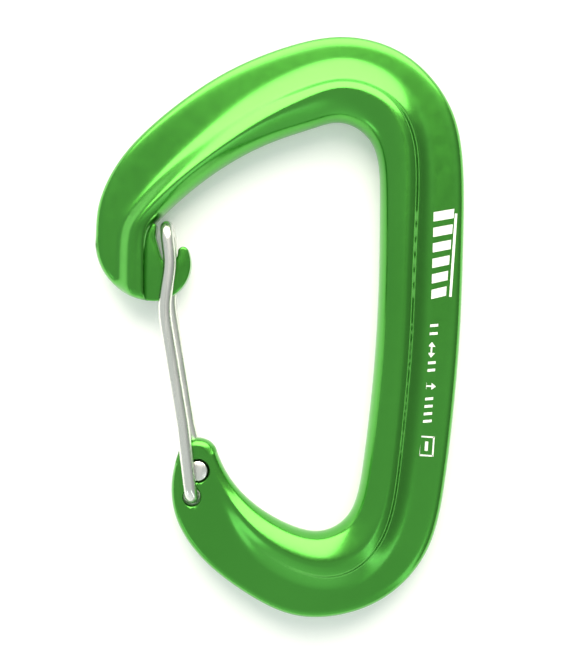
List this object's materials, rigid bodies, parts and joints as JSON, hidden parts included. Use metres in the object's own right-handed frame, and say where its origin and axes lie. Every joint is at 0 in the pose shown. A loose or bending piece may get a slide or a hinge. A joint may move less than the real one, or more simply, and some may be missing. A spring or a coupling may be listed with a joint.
{
  "type": "wire-gate carabiner",
  "caption": "Forged D-shaped carabiner with a T-section bow, a hooked nose in a thin web and a sprung wire gate that opens inwards.",
  "frame": {"origin": "under the middle of the whole object's box, on the plane that it lies on", "axes": "+X from the gate to the spine, +Y along the spine and the load line towards the rope end, +Z through the thickness; the side whose gate leg turns in the lower hole faces +Z"},
  "size_m": [0.06, 0.0941, 0.0086],
  "materials": {
    "green_anodised_aluminium": "bright clear-dyed green anodising, glossy",
    "stainless_wire": "drawn spring wire, polished"
  },
  "bodies": {
    "body": {"body": "green_anodised_aluminium"},
    "gate_front": {"gate_front_leg": "stainless_wire"},
    "gate_rear": {"gate_rear_leg": "stainless_wire"}
  },
  "joints": [
    {"name": "gate_hinge", "type": "hinge", "parent": "body", "child": "gate_front", "pos_m": [-0.0115, -0.02875, 0.0043], "axis": [0, 0, -1], "range_deg": [0, 45], "stiffness_Nm_per_rad": 0.3, "springref_deg": -22.92},
    {"name": "crown_twist", "type": "hinge", "parent": "gate_front", "child": "gate_rear", "pos_m": [-0.0185, 0.0143, 0.0043], "axis": [0, 0, -1], "range_deg": [0, 5]}
  ],
  "couplings": [
    {"joint": "crown_twist", "follows": "gate_hinge", "ratio": 0.106}
  ]
}
